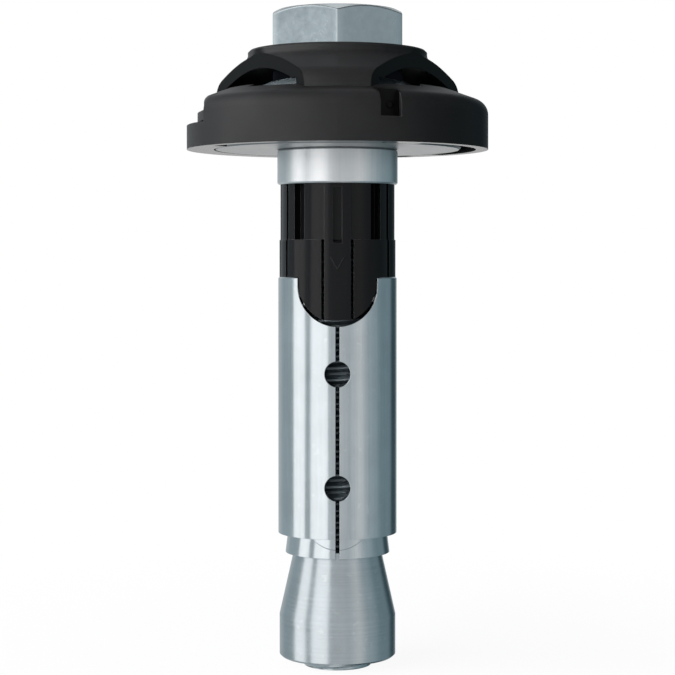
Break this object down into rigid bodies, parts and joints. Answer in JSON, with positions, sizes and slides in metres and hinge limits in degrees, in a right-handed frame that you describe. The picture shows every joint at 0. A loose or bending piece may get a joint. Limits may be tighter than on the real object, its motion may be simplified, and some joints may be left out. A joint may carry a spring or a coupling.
{
  "type": "sleeve anchor",
  "caption": "Heavy-duty sleeve anchor: a hex flange bolt in a plastic washer cage draws a cone into a slit steel sleeve to grip a drilled hole in concrete.",
  "frame": {"origin": "centre of the bolt's threaded end, the lowest point of the anchor as it stands", "axes": "+Z along the bolt towards the hexagon head; -Y is the front, where the sleeve's slit and one spoke of the cage face; +X is to the right seen from the front"},
  "size_m": [0.045, 0.045, 0.0978],
  "materials": {
    "zinc_bolt": "zinc plated",
    "zinc_cone": "zinc plated",
    "zinc_sleeve": "zinc plated",
    "black_gloss_plastic": "glossy moulded",
    "zinc_spacer": "zinc plated",
    "zinc_washer": "zinc plated",
    "spring_steel": "zinc plated spring steel",
    "black_matte_plastic": "satin moulded"
  },
  "bodies": {
    "sleeve_stack": {"expansion_sleeve": "zinc_sleeve", "crumple_sleeve": "black_gloss_plastic", "spacer_ring": "zinc_spacer", "base_washer": "zinc_washer", "spring_washer": "spring_steel", "cage": "black_matte_plastic"},
    "bolt": {"flange_bolt": "zinc_bolt"},
    "cone": {"cone": "zinc_cone"}
  },
  "joints": [
    {"name": "bolt_turn", "type": "hinge", "parent": "sleeve_stack", "child": "bolt", "pos_m": [0, 0, 0], "axis": [0, 0, 1], "range_deg": [0, 2880]},
    {"name": "cone_travel", "type": "slide", "parent": "sleeve_stack", "child": "cone", "axis": [0, 0, -1], "range_m": [0, 0.01401]}
  ],
  "couplings": [
    {"joint": "cone_travel", "follows": "bolt_turn", "m_per_rad": 0.00027852}
  ]
}
